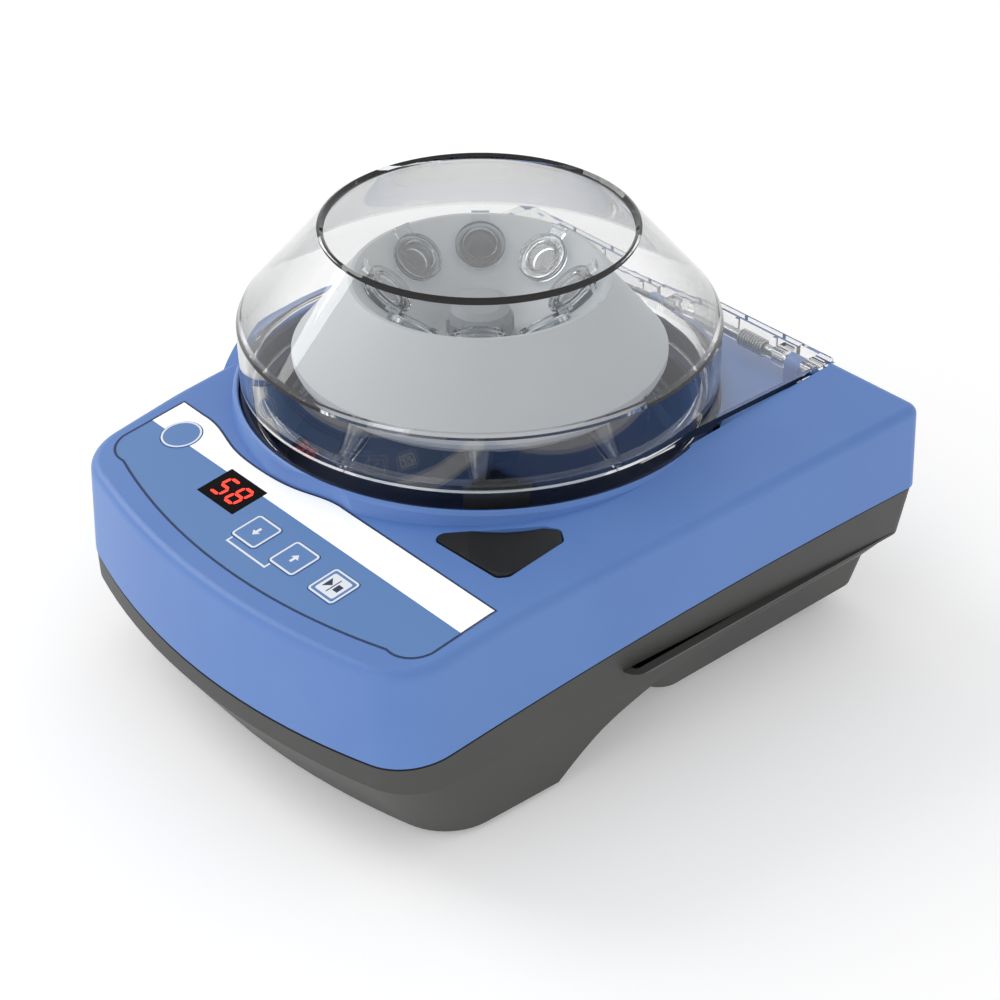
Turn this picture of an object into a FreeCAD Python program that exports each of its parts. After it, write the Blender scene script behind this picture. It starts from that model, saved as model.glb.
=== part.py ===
import FreeCAD, Part
import math
import os

# Bench-top microcentrifuge: clear domed lid over an eight-place rotor, sloping front control panel.
# Millimetres.  Front -Y, rear +Y, up +Z, ground at z = 0, origin under the middle of the overall box.

V = FreeCAD.Vector
UP = V(0, 0, 1)

# ---- driving dimensions ----
PANEL_X = 3.7            # middle of the tapered body and of the front panel
AX = -10.8               # rotor, well and lid axis
AY = 16.0
REAR_Y = 87.4
APEX_Y = -87.4           # middle of the curved front wall at the parting line
REAR_HALF = 77.5         # half width at the rear, at the parting line
FRONT_HALF = 67.5
CORNER_Y = -75.9
WALL = 2.4
DRAFT = 0.061            # side walls lean in this much per millimetre of height

PART_REAR_Z = 44.9       # parting line, an arc seen from the side
PART_MID_Z = 39.2
PART_FRONT_Z = 27.6

CREASE_Y = -44.0         # deck bends here into the front panel facet
CREASE_Z = 60.2
CREASE_R = 140.0         # radius blending the bend
DECK_SLOPE = 0.0632
PANEL_SLOPE = 0.136
PANEL_TILT = math.degrees(math.atan(PANEL_SLOPE))

RIM_Z = 64.8             # level rim of the rotor well
WELL_R = 63.5
BULGE_R = 69.6           # round bulge of the housing around the well, at rim level

FLOOR_Z = 2.0            # underside of the tray, held up by the rubber feet
FEET_R = 6.0

HINGE_Y = 82.9
HINGE_Z = 63.2
PIN_R = 1.5
EAR_R = 2.6

PLATE_TOP = 68.6         # hinge plate of the lid
PLATE_UNDER = 66.2
PLATE_HALF = 60.4
RECESS_FLOOR = 60.3
TROUGH_FLOOR = 57.9

LID_TOP_Z = 110.0
LID_TOP_R = 41.2
SHOULDER_Z = 84.2
SHOULDER_R = 62.9
LID_WALL = 2.0

TUBE_LEAN = 40.0         # tubes lean this far from upright
MOUTH_R = 24.5
MOUTH_Z = 88.4
TUBE_COUNT = 8
TUBE_BEARING = 3.6       # bearing of the first tube round the rotor axis

LATCH_ANGLE = -37.0      # latch sits at this bearing from the lid axis

KEY_SIZE = 9.4
KEY_PROUD = 0.15         # cap tops above the panel
KEY_GAP = 0.2
KEY_Y = -65.5
DOWN_X = 0.2
UP_X = 15.3
START_X = 30.5
POWER_X = -46.8
POWER_Y = -54.7
POWER_R = 5.5
DISPLAY_X0, DISPLAY_X1 = -24.9, -10.1
DISPLAY_Y0, DISPLAY_Y1 = -65.4, -54.6


# ---- small helpers ----
def box(x0, x1, y0, y1, z0, z1):
    return Part.makeBox(x1 - x0, y1 - y0, z1 - z0, V(x0, y0, z0))


def cyl(r, z0, z1, x=AX, y=AY):
    return Part.makeCylinder(r, z1 - z0, V(x, y, z0), UP)


def cone(r0, r1, z0, z1, x=AX, y=AY):
    return Part.makeCone(r0, r1, z1 - z0, V(x, y, z0), UP)


def rod_x(r, x0, x1, y, z):
    return Part.makeCylinder(r, x1 - x0, V(x0, y, z), V(1, 0, 0))


def tube(r_out, r_in, z0, z1, x=AX, y=AY):
    return cyl(r_out, z0, z1, x, y).cut(cyl(r_in, z0 - 1, z1 + 1, x, y))


def turned(points, x=AX, y=AY):
    # points are (radius, height) pairs, closed automatically
    pts = [V(x + r, y, z) for r, z in points]
    face = Part.Face(Part.makePolygon(pts + [pts[0]]))
    return face.revolve(V(x, y, 0), UP, 360)


def prism_yz(points, x0=-120.0, x1=120.0):
    pts = [V(x0, y, z) for y, z in points]
    face = Part.Face(Part.makePolygon(pts + [pts[0]]))
    return face.extrude(V(x1 - x0, 0, 0))


def prism_xy(points, z0, z1):
    pts = [V(x, y, z0) for x, y in points]
    face = Part.Face(Part.makePolygon(pts + [pts[0]]))
    return face.extrude(V(0, 0, z1 - z0))


def fuse(shapes):
    out = shapes[0]
    for s in shapes[1:]:
        out = out.fuse(s)
    return out.removeSplitter()


def cut(shape, tools):
    for t in tools:
        shape = shape.cut(t)
    return shape


def save(name, shape):
    solids = shape.Solids
    out = solids[0] if len(solids) == 1 else Part.makeCompound(solids)
    out.exportStep("parts/" + name + ".step")


def at_bearing(shape, degrees):
    # turn a shape drawn on the +X side of the lid axis to a bearing round that axis
    s = shape.copy()
    s.rotate(V(AX, AY, 0), UP, degrees)
    return s


# ---- plan outline: straight leaning sides, curved front, rounded corners ----
def rounded(p, q, r, size):
    # tangent points and middle of an arc rounding corner q between p and r
    a = (p - q).normalize()
    b = (r - q).normalize()
    half = math.acos(max(-1.0, min(1.0, a.dot(b)))) / 2
    radius = size * math.tan(half)
    mid = q + (a + b).normalize() * (radius / math.sin(half) - radius)
    return q + a * size, mid, q + b * size


def body_wire(z, rear_half, front_half, rear_y, corner_y, apex_y, round_front, round_rear):
    sag = corner_y - apex_y
    arc_r = (front_half ** 2 + sag ** 2) / (2 * sag)
    cy = apex_y + arc_r
    ex = front_half - round_front
    ey = cy - math.sqrt(arc_r ** 2 - ex ** 2)
    tangent = V(cy - ey, ex, 0).normalize()
    side = V(front_half - rear_half, corner_y - rear_y, 0)
    # corner where the side line meets the tangent of the front arc
    det = side.x * (-tangent.y) - side.y * (-tangent.x)
    dx, dy = ex - rear_half, ey - rear_y
    t = (dx * (-tangent.y) - dy * (-tangent.x)) / det
    corner = V(rear_half + side.x * t, rear_y + side.y * t, 0)
    end = V(ex, ey, 0)
    size = (end - corner).Length
    back = V(rear_half, rear_y, 0)
    s0, sm, s1 = rounded(back, corner, end, size)
    r0, rm, r1 = rounded(V(0, rear_y, 0), back, corner, round_rear)

    def w(p, sign):
        return V(PANEL_X + sign * p.x, p.y, z)
    edges = [Part.makeLine(w(r0, -1), w(r0, 1)),
             Part.Arc(w(r0, 1), w(rm, 1), w(r1, 1)).toShape(),
             Part.makeLine(w(r1, 1), w(s0, 1)),
             Part.Arc(w(s0, 1), w(sm, 1), w(s1, 1)).toShape(),
             Part.Arc(w(s1, 1), V(PANEL_X, apex_y, z), w(s1, -1)).toShape(),
             Part.Arc(w(s1, -1), w(sm, -1), w(s0, -1)).toShape(),
             Part.makeLine(w(s0, -1), w(r1, -1)),
             Part.Arc(w(r1, -1), w(rm, -1), w(r0, -1)).toShape()]
    return Part.Wire(edges)


def body_loft(stations):
    return Part.makeLoft([body_wire(*s) for s in stations], True, True)


def parting_arc(offset):
    a = V(0, REAR_Y + 8, PART_REAR_Z + 0.3 + offset)
    m = V(0, 0, PART_MID_Z + offset)
    b = V(0, APEX_Y - 8, PART_FRONT_Z - 1.3 + offset)
    return Part.Arc(a, m, b).toShape(), a, b


def parting_side(offset, above):
    arc, a, b = parting_arc(offset)
    far = 180.0 if above else -40.0
    wire = Part.Wire([arc, Part.makeLine(b, V(0, b.y, far)), Part.makeLine(V(0, b.y, far), V(0, a.y, far)),
                      Part.makeLine(V(0, a.y, far), a)])
    face = Part.Face(wire)
    face.translate(V(-120, 0, 0))
    return face.extrude(V(240, 0, 0))


def deck_z(y):
    if y > CREASE_Y:
        return CREASE_Z + DECK_SLOPE * (y - CREASE_Y)
    return CREASE_Z + PANEL_SLOPE * (y - CREASE_Y)


def under_deck(offset):
    # everything below the deck surface, moved by offset
    y0, y1 = -120.0, 120.0
    a1, a2 = math.atan(DECK_SLOPE), math.atan(PANEL_SLOPE)
    reach = CREASE_R * math.tan((a2 - a1) / 2)
    rear = V(-120, CREASE_Y + reach * math.cos(a1), CREASE_Z + reach * math.sin(a1) + offset)
    front = V(-120, CREASE_Y - reach * math.cos(a2), CREASE_Z - reach * math.sin(a2) + offset)
    sink = CREASE_R / math.cos((a2 - a1) / 2) - CREASE_R
    mid = V(-120, CREASE_Y + sink * math.sin((a1 + a2) / 2), CREASE_Z - sink * math.cos((a1 + a2) / 2) + offset)
    p0 = V(-120, y1, deck_z(y1) + offset)
    p1 = V(-120, y0, deck_z(y0) + offset)
    q0, q1 = V(-120, y1, -40), V(-120, y0, -40)
    wire = Part.Wire([Part.makeLine(p0, rear), Part.Arc(rear, mid, front).toShape(), Part.makeLine(front, p1),
                      Part.makeLine(p1, q1), Part.makeLine(q1, q0), Part.makeLine(q0, p0)])
    return Part.Face(wire).extrude(V(240, 0, 0))


# ---- upper housing ----
def housing_body(inset, top_offset):
    def station(z):
        lean_r = DRAFT * (z - PART_REAR_Z)
        lean_f = DRAFT * (z - PART_FRONT_Z)
        return (z, REAR_HALF - lean_r - inset, FRONT_HALF - lean_f - inset, REAR_Y - inset - 0.2,
                CORNER_Y + inset, APEX_Y + lean_f + inset, 11.0 - inset, max(4.0 - inset, 1.5))
    body = body_loft([station(18.0), station(74.0)])
    body = body.common(under_deck(top_offset))
    if inset == 0:
        rim = []
        for e in body.Edges:
            p = e.CenterOfMass
            if all(abs(v.Point.z - deck_z(v.Point.y)) < 0.3 for v in e.Vertexes) and \
                    not (abs(p.y - CREASE_Y) < 9 and abs(p.x - PANEL_X) < 20) and p.z > 40:
                flat = abs(e.Vertexes[0].Point.x - e.Vertexes[-1].Point.x) > 90 and abs(p.y) < 70
                if not flat:
                    rim.append(e)
        body = body.makeFillet(2.6, rim)
    return body


def bulge(inset):
    # round bulge of the left side, its top falling to the deck toward the front
    top = RIM_Z - (0.0 if inset == 0 else WALL)
    b = cone(BULGE_R + 1.4 - inset, BULGE_R - inset, 18.0, RIM_Z)
    shape = b.common(prism_yz([(-60, -10), (-60, top - 12.0), (-10, top), (100, top), (100, -10)]))
    return shape.common(box(-120, AX - 22, -60, 110, -20, 120))


def collar():
    c = turned([(WELL_R - 2, 50), (WELL_R + 2.6, 50), (WELL_R + 2.2, 60), (WELL_R + 1.5, 63.8),
                (WELL_R + 1.0, 64.5), (WELL_R + 0.4, RIM_Z), (WELL_R - 2, RIM_Z)])
    return c


BUTTON_OUTLINE = [(34.2, -36.0), (49.6, -16.6), (53.4, -14.6), (57.2, -17.2), (58.2, -35.0), (56.4, -37.4),
                  (36.0, -38.4)]


def offset_outline(points, d):
    cx = sum(p[0] for p in points) / len(points)
    cy = sum(p[1] for p in points) / len(points)
    out = []
    for x, y in points:
        r = math.hypot(x - cx, y - cy)
        out.append((x + (x - cx) / r * d * 1.25, y + (y - cy) / r * d * 1.25))
    return out


def smooth_prism(points, z0, z1, radius):
    s = prism_xy(points, z0, z1)
    edges = [e for e in s.Edges if abs(e.Vertexes[0].Point.z - e.Vertexes[1].Point.z) > 1]
    return s.makeFillet(radius, edges)


def panel_place(shape):
    # from panel coordinates (x, distance up the slope, height off the panel) to the frame
    s = shape.copy()
    s.rotate(V(0, 0, 0), V(1, 0, 0), PANEL_TILT)
    s.translate(V(0, -62.0, deck_z(-62.0)))
    return s


def panel_v(y):
    return (y + 62.0) / math.cos(math.radians(PANEL_TILT))


def square_prism(cx, y, half, w0, w1, radius):
    v = panel_v(y)
    s = box(cx - half, cx + half, v - half, v + half, w0, w1)
    edges = [e for e in s.Edges if abs(e.Vertexes[0].Point.z - e.Vertexes[1].Point.z) > 0.2]
    return panel_place(s.makeFillet(radius, edges))


def round_prism(cx, y, r, w0, w1):
    return panel_place(Part.makeCylinder(r, w1 - w0, V(cx, panel_v(y), w0), UP))


def key_shapes(grow, w0, w1):
    out = [round_prism(POWER_X, POWER_Y, POWER_R + grow, w0, w1)]
    for x in (DOWN_X, UP_X, START_X):
        out.append(square_prism(x, KEY_Y, KEY_SIZE / 2 + grow, w0, w1, 1.2 + max(grow, 0)))
    return out


def display_prism(grow, w0, w1):
    s = box(DISPLAY_X0 - grow, DISPLAY_X1 + grow, panel_v(DISPLAY_Y0) - grow, panel_v(DISPLAY_Y1) + grow, w0, w1)
    return panel_place(s)


def overlay_outline(grow):
    # decal outline: straight sides, curved front, rear edge dipping round the well
    left, right = PANEL_X - 62.1 - grow, PANEL_X + 62.1 + grow
    front = Part.Arc(V(left + 9, -71.2 - grow, 0), V(PANEL_X, -79.0 - grow, 0), V(right - 9, -71.2 - grow, 0))
    pts = [V(right, -65.0, 0), V(right, -45.6 + grow, 0), V(10.0, -45.6 + grow, 0)]
    dip = [V(10.0, -45.6 + grow, 0), V(4.0, -46.0 + grow, 0), V(-5.0, -48.4 + grow, 0), V(-20.0, -49.9 + grow, 0),
           V(-32.0, -48.9 + grow, 0), V(-42.0, -46.2 + grow, 0), V(-49.0, -45.6 + grow, 0)]
    spline = Part.BSplineCurve()
    spline.interpolate(dip)
    edges = [front.toShape(),
             Part.Arc(V(right - 9, -71.2 - grow, 0), V(right - 2.0, -68.9 - grow * 0.7, 0), V(right, -65.0, 0)).toShape(),
             Part.makeLine(pts[0], pts[1]), Part.makeLine(pts[1], pts[2]), spline.toShape(),
             Part.makeLine(dip[-1], V(left, -45.6 + grow, 0)), Part.makeLine(V(left, -45.6 + grow, 0), V(left, -65.0, 0)),
             Part.Arc(V(left, -65.0, 0), V(left + 2.0, -68.9 - grow * 0.7, 0), V(left + 9, -71.2 - grow, 0)).toShape()]
    face = Part.Face(Part.Wire(edges))
    face.translate(V(0, 0, 30))
    return face.extrude(V(0, 0, 60))


def recess(grow, floor_drop):
    right = box(AX, AX + PLATE_HALF + 0.6 + grow, 33 - grow, 110, RECESS_FLOOR - floor_drop, 90)
    left = box(-120, AX + 1, 46 - grow, 110, RECESS_FLOOR - floor_drop, 90)
    trough = box(-120, AX + PLATE_HALF + 0.6 + grow, 77.4 - grow, 110, TROUGH_FLOOR - floor_drop, 90)
    return right.fuse(left).fuse(trough)


HOUSING_BOSSES = [(62.0, -47.0), (-58.0, -40.0), (58.0, 72.0), (-54.0, 72.0)]
BOSS_SPLIT_Z = 26.0
BOWL_TABS = [25.0, 145.0, 285.0]
TAB_ENDS = [69.8, 67.2, 69.8]    # the left tab stops short of the bulge wall, so its hole is an open slot
TAB_R = 66.4


def bearing_point(degrees, r):
    a = math.radians(degrees)
    return AX + r * math.cos(a), AY + r * math.sin(a)


EARS = [(-62.0, -57.0), (-13.5, -8.5), (38.0, 43.0)]


def upper_housing():
    outer = fuse([housing_body(0, 0), bulge(0), collar()])
    outer = outer.common(parting_side(0.4, True).fuse(cyl(WELL_R + 2.7, 50, 70)))
    inner = fuse([housing_body(WALL, -WALL), bulge(WALL)])
    inner = inner.cut(cyl(WELL_R + 2.4, 56.6, 90))
    inner = inner.cut(recess(WALL, WALL))
    button_skin = smooth_prism(offset_outline(BUTTON_OUTLINE, 2.0), 56.0, 90, 2.6)
    inner = inner.cut(button_skin)
    keep = []
    for x, y in HOUSING_BOSSES:
        inner = inner.cut(cyl(4.0, BOSS_SPLIT_Z + 0.3, 90, x, y))
    for a in BOWL_TABS:
        x, y = bearing_point(a, TAB_R)
        inner = inner.cut(cyl(3.6, 54.6, 90, x, y))
    for x, y in [(-54.0, -62.0), (58.0, -58.0), (-14.0, -76.4), (40.0, -74.6)]:
        post = Part.makeCylinder(2.8, 12.0, V(x, panel_v(y), -11.0), UP)
        inner = inner.cut(panel_place(post))
    shell = outer.cut(inner)
    # boss columns run on below the parting face
    for x, y in HOUSING_BOSSES:
        keep.append(cyl(4.0, BOSS_SPLIT_Z + 0.3, 52, x, y))
    shell = fuse([shell] + keep)
    shell = shell.cut(cyl(WELL_R, 20, 120))
    shell = shell.cut(cone(WELL_R - 0.4, WELL_R + 0.6, RIM_Z - 0.8, RIM_Z + 0.2))
    shell = shell.cut(recess(0, 0))
    ears = []
    for x0, x1 in EARS:
        ear = rod_x(EAR_R, x0, x1, HINGE_Y, HINGE_Z)
        ears.append(ear.fuse(box(x0, x1, HINGE_Y - EAR_R, HINGE_Y + EAR_R, TROUGH_FLOOR - 1.5, HINGE_Z)))
    shell = fuse([shell] + ears)
    shell = shell.cut(rod_x(PIN_R + 0.02, -70, 60, HINGE_Y, HINGE_Z))
    cuts = [smooth_prism(offset_outline(BUTTON_OUTLINE, 0.4), 30, 90, 2.0)]
    cuts += key_shapes(KEY_GAP, -6, 5)
    cuts.append(display_prism(0.15, -6, 5))
    cuts.append(overlay_outline(0.2).cut(under_deck(-0.4)))
    for x, y in HOUSING_BOSSES:
        cuts.append(cyl(1.5, 20, 44, x, y))
    for a in BOWL_TABS:
        x, y = bearing_point(a, TAB_R)
        cuts.append(cyl(1.25, 50, 58.0 if a == 145.0 else 60.0, x, y))
    for x, y in BOARD_POSTS:
        cuts.append(panel_place(Part.makeCylinder(1.05, 7.0, V(x, panel_v(y), -12.0), UP)))
    return cut(shell, cuts)


BOARD_POSTS = [(-54.0, -62.0), (58.0, -58.0), (-14.0, -76.4), (40.0, -74.6)]


# ---- base tray ----
def tray_profile(offset):
    pts = [V(0, -29, FLOOR_Z), V(0, -22, 8.5), V(0, -16, 13.0), V(0, -7, 17.2), V(0, 2, 20.3), V(0, 23, 24.4),
           V(0, 60, 27.7), V(0, 95, 30.0)]
    pts = [V(0, p.y - offset * 0.6, p.z + offset) for p in pts]
    spline = Part.BSplineCurve()
    spline.interpolate(pts)
    a = V(0, -110, FLOOR_Z + offset)
    edges = [Part.makeLine(a, pts[0]), spline.toShape(), Part.makeLine(pts[-1], V(0, pts[-1].y, 90)),
             Part.makeLine(V(0, pts[-1].y, 90), V(0, -110, 90)), Part.makeLine(V(0, -110, 90), a)]
    face = Part.Face(Part.Wire(edges))
    face.translate(V(-120, 0, 0))
    return face.extrude(V(240, 0, 0))


def tray_body(inset):
    band = 22.0
    high = (48.0, REAR_HALF - inset, FRONT_HALF + 0.6 - inset, REAR_Y - inset - 0.2, CORNER_Y + inset,
            APEX_Y + inset - 0.3, 11.0 - inset, max(4.0 - inset, 1.5))
    mid = (band, REAR_HALF - 4.6 - inset, FRONT_HALF - 0.6 - inset, REAR_Y - inset - 0.6, CORNER_Y + inset + 0.3,
           APEX_Y + inset + 0.2, 11.0 - inset, max(4.0 - inset, 1.5))
    low = (0.0, REAR_HALF - 8.0 - inset, FRONT_HALF - 2.6 - inset, REAR_Y - inset - 2.0, CORNER_Y + 14.4 + inset,
           APEX_Y + 14.6 + inset, 11.0 - inset, max(4.0 - inset, 1.5))
    body = body_loft([low, mid, high])
    round_side = cone(62.0 - inset, BULGE_R + 0.9 - inset, 0.0, 48.0).common(box(-120, AX - 22, -60, 110, -1, 60))
    return body.fuse(round_side).common(tray_profile(inset))


def pedestal(inset):
    def wire(z, half, y0, y1, r):
        x0, x1 = PANEL_X - half + inset, PANEL_X + half - inset
        y0, y1 = y0 + inset, y1 - inset
        r = max(r - inset, 1.0)
        k = r * (1 - math.sqrt(0.5))
        p = [V(x0 + r, y0, z), V(x1 - r, y0, z), V(x1 - k, y0 + k, z), V(x1, y0 + r, z), V(x1, y1 - r, z),
             V(x1 - k, y1 - k, z), V(x1 - r, y1, z), V(x0 + r, y1, z), V(x0 + k, y1 - k, z), V(x0, y1 - r, z),
             V(x0, y0 + r, z), V(x0 + k, y0 + k, z)]
        return Part.Wire([Part.makeLine(p[0], p[1]), Part.Arc(p[1], p[2], p[3]).toShape(), Part.makeLine(p[3], p[4]),
                          Part.Arc(p[4], p[5], p[6]).toShape(), Part.makeLine(p[6], p[7]),
                          Part.Arc(p[7], p[8], p[9]).toShape(), Part.makeLine(p[9], p[10]),
                          Part.Arc(p[10], p[11], p[0]).toShape()])
    wires = [wire(FLOOR_Z + inset, 57.0, 14.0, 83.0, 8.0), wire(8.0 + inset * 0.4, 62.5, 8.0, 86.2, 7.0),
             wire(17.5, 64.4, 2.0, 86.6, 5.0), wire(30.0, 74.2, -12.0, 86.9, 4.0)]
    return Part.makeLoft(wires, True, True)


POD_R = 23.4
SOCKET_X = 40.0
SOCKET_Z = 26.0
FEET = [(PANEL_X - 48.0, -56.0), (PANEL_X + 48.0, -56.0), (PANEL_X - 48.0, 62.0), (PANEL_X + 48.0, 62.0)]


def base_tray():
    # the round pod in the middle clears the motor
    outer = fuse([tray_body(0), pedestal(0), cyl(POD_R, FLOOR_Z, 29.0)])
    riser = box(PANEL_X - 64.0, PANEL_X + 64.0, 7.0, 84.2, 25.0, 44.0)
    inner = fuse([tray_body(WALL), pedestal(WALL), riser, cyl(POD_R - WALL, FLOOR_Z + WALL, 44.0)])
    for x, y in HOUSING_BOSSES:
        inner = inner.cut(cyl(4.6, -1, BOSS_SPLIT_Z, x, y))
    for x, y in [(58.0, -14.0), (58.0, 50.0), (66.0, 18.0)]:
        inner = inner.cut(cyl(2.6, -1, 31.0, x, y))
    shell = outer.cut(inner)
    shell = shell.common(parting_side(-0.4, False))
    tools = []
    for x, y in HOUSING_BOSSES:
        tools.append(cyl(1.7, -1, 30, x, y))
        tools.append(cyl(3.3, -1, 12.0, x, y))
    for x, y in [(58.0, -14.0), (58.0, 50.0)]:
        tools.append(cyl(1.05, 24, 32, x, y))
    for x, y in FEET:
        tools.append(cyl(FEET_R + 0.05, -1, FLOOR_Z + 1.2, x, y))
    # power inlet opening and cooling slots in the rear wall
    tools.append(box(SOCKET_X - 5.2, SOCKET_X + 5.2, 80, 95, SOCKET_Z - 5.7, SOCKET_Z + 5.7))
    for i in range(8):
        x = -46.0 + 6.0 * i
        tools.append(box(x, x + 2.6, 80, 95, 21.0, 36.0))
    return cut(shell, tools)


def parting_seal():
    band = housing_body(1.0, 0).cut(housing_body(3.0, 3))
    band = band.fuse(bulge(1.0).common(box(-120, AX - 22, -60, 110, 20, 55)).cut(bulge(3.0)))
    band = band.cut(housing_body(3.0, 3)).cut(cyl(BULGE_R - 2.0, 10, 60))
    strip = parting_side(-0.38, True).common(parting_side(0.38, False))
    return band.common(strip)


# ---- rotor well ----
def latch_slot():
    return at_bearing(box(AX + 55.6, AX + 62.6, AY - 6.6, AY + 6.6, 49.0, 59.2), LATCH_ANGLE)


def rotor_bowl():
    shell = turned([(63.2, 63.4), (62.8, 63.8), (61.9, 63.8), (61.6, 63.4), (61.6, 58.8), (57.0, 58.8), (56.4, 58.2),
                    (56.4, 46.0), (54.8, 43.0), (52.0, 41.8), (10.4, 41.8), (9.4, 43.0), (8.8, 47.5), (7.0, 47.5),
                    (7.0, 40.0), (53.0, 40.0), (56.4, 41.8), (58.0, 45.0), (58.0, 57.2), (63.2, 57.2)])
    parts = [shell]
    for a, end in zip(BOWL_TABS, TAB_ENDS):
        parts.append(at_bearing(box(AX + 57.6, AX + end, AY - 3.8, AY + 3.8, 52.0, 54.4), a))
    for a in MOTOR_BEARINGS:
        x, y = bearing_point(a, MOTOR_POST_R)
        parts.append(cyl(4.0, 38.0, 40.6, x, y))
    bowl = fuse(parts).cut(latch_slot())
    for a in BOWL_TABS:
        x, y = bearing_point(a, TAB_R)
        bowl = bowl.cut(cyl(1.6, 50, 56, x, y))
    for a in MOTOR_BEARINGS:
        x, y = bearing_point(a, MOTOR_POST_R)
        bowl = bowl.cut(cyl(1.55, 37, 41.2, x, y))
    return bowl


def bowl_screws():
    out = []
    for a in BOWL_TABS:
        x, y = bearing_point(a, TAB_R)
        head = cyl(2.6, 49.8, 52.0, x, y).cut(cyl(1.1, 49.0, 50.8, x, y))
        out.append(head.fuse(cyl(1.2, 51.5, 57.6, x, y)))
    return Part.makeCompound(out)


# ---- front panel ----
def control_panel_overlay():
    sheet = overlay_outline(0).common(under_deck(0)).cut(under_deck(-0.4))
    return cut(sheet, key_shapes(KEY_GAP, -6, 5) + [display_prism(0.1, -6, 5)])


def display_window():
    s = box(DISPLAY_X0, DISPLAY_X1, panel_v(DISPLAY_Y0), panel_v(DISPLAY_Y1), -1.6, 0.0)
    return panel_place(s)


def display_module():
    cx = (DISPLAY_X0 + DISPLAY_X1) / 2
    cv = (panel_v(DISPLAY_Y0) + panel_v(DISPLAY_Y1)) / 2
    s = box(cx - 6.6, cx + 6.6, cv - 4.9, cv + 4.9, -8.6, -1.9)
    parts = [s]
    for i in range(5):
        for side in (-1, 1):
            parts.append(Part.makeCylinder(0.3, 2.6, V(cx - 5.08 + 2.54 * i, cv + side * 3.8, -11.2), UP))
    return panel_place(fuse(parts))


def control_board():
    v0, v1 = panel_v(-78.0), panel_v(-51.8)
    s = box(-57.0, 61.0, v0, v1, -12.7, -11.1)
    s = s.cut(box(-60, -42, v0 - 1, v0 + 8, -14, -10)).cut(box(48, 65, v0 - 1, v0 + 8, -14, -10))
    for x, y in BOARD_POSTS:
        s = s.cut(Part.makeCylinder(1.2, 5, V(x, panel_v(y), -14), UP))
    cx = (DISPLAY_X0 + DISPLAY_X1) / 2
    cv = (panel_v(DISPLAY_Y0) + panel_v(DISPLAY_Y1)) / 2
    for i in range(5):
        for side in (-1, 1):
            s = s.cut(Part.makeCylinder(0.35, 1.0, V(cx - 5.08 + 2.54 * i, cv + side * 3.8, -11.3), UP))
    return cut(panel_place(s), [cyl(4.5, 20, 90, x, y) for x, y in HOUSING_BOSSES])


def board_screws():
    out = []
    for x, y in BOARD_POSTS:
        v = panel_v(y)
        head = Part.makeCylinder(2.0, 1.5, V(x, v, -14.2), UP)
        head = head.cut(Part.makeBox(3.2, 0.5, 0.6, V(x - 1.6, v - 0.25, -14.3)))
        out.append(panel_place(head.fuse(Part.makeCylinder(1.0, 6.4, V(x, v, -12.75), UP))))
    return Part.makeCompound(out)


def key_cap(x, y, power):
    # cap through the deck, with a retaining flange below it
    v = panel_v(y)
    if power:
        s = Part.makeCylinder(POWER_R, KEY_PROUD + 3.4, V(x, v, -3.4), UP)
        top = [e for e in s.Edges if abs(e.CenterOfMass.z - KEY_PROUD) < 0.01 and len(e.Vertexes) == 1]
        s = s.makeFillet(0.1, top)
        s = s.fuse(Part.makeCylinder(POWER_R + 1.0, 0.8, V(x, v, -3.6), UP))
    else:
        h = KEY_SIZE / 2
        s = box(x - h, x + h, v - h, v + h, -3.4, KEY_PROUD)
        s = s.makeFillet(1.2, [e for e in s.Edges if abs(e.Vertexes[0].Point.z - e.Vertexes[1].Point.z) > 1])
        s = s.makeFillet(0.1, [e for e in s.Edges if all(abs(p.Point.z - KEY_PROUD) < 0.01 for p in e.Vertexes)])
        s = s.fuse(box(x - h - 1, x + h + 1, v - h - 1, v + h + 1, -3.6, -2.8))
    s = s.fuse(Part.makeCylinder(1.6, 2.2, V(x, v, -5.6), UP))
    return panel_place(s.removeSplitter())


def key_switches():
    out = []
    for x, y in [(POWER_X, POWER_Y), (DOWN_X, KEY_Y), (UP_X, KEY_Y), (START_X, KEY_Y)]:
        v = panel_v(y)
        body = box(x - 3.0, x + 3.0, v - 3.0, v + 3.0, -11.1, -7.6)
        out.append(panel_place(body.fuse(Part.makeCylinder(1.7, 1.2, V(x, v, -7.7), UP)).removeSplitter()))
    return Part.makeCompound(out)


# ---- lid release ----
BUTTON_R = 75.5          # release button stem, out from the lid axis


def lid_open_button():
    s = smooth_prism(BUTTON_OUTLINE, 57.6, 80, 1.8).common(under_deck(0.3))
    dish = Part.makeSphere(46.0, V(50.2, -28.2, deck_z(-28.0) + 0.3 + 46.0 - 1.5))
    s = s.cut(dish)
    collar_skirt = smooth_prism(offset_outline(BUTTON_OUTLINE, -2.0), 53.0, 58.0, 1.2)
    core = smooth_prism(offset_outline(BUTTON_OUTLINE, -3.4), 52.0, 57.6, 0.8)
    x, y = bearing_point(LATCH_ANGLE, BUTTON_R)
    stem = cyl(1.4, 48.4, 58.0, x, y)
    return fuse([s, collar_skirt.cut(core), stem])


def radial_box(r0, r1, half, z0, z1, degrees=LATCH_ANGLE, shift=0.0):
    return at_bearing(box(AX + r0, AX + r1, AY - half + shift, AY + half + shift, z0, z1), degrees)


def latch_pawl():
    bar = radial_box(64.6, 80.0, 4.6, 48.0, 50.6)
    nose = radial_box(62.5, 65.6, 4.0, 48.0, 55.0)
    nose = nose.cut(at_bearing(prism_xz([(61.0, 57.0), (61.0, 53.4), (66.6, 57.0)]), LATCH_ANGLE))
    slot = radial_box(BUTTON_R - 3.8, BUTTON_R + 1.8, 1.8, 40.0, 60.0)
    return fuse([bar, nose]).cut(slot)


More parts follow.
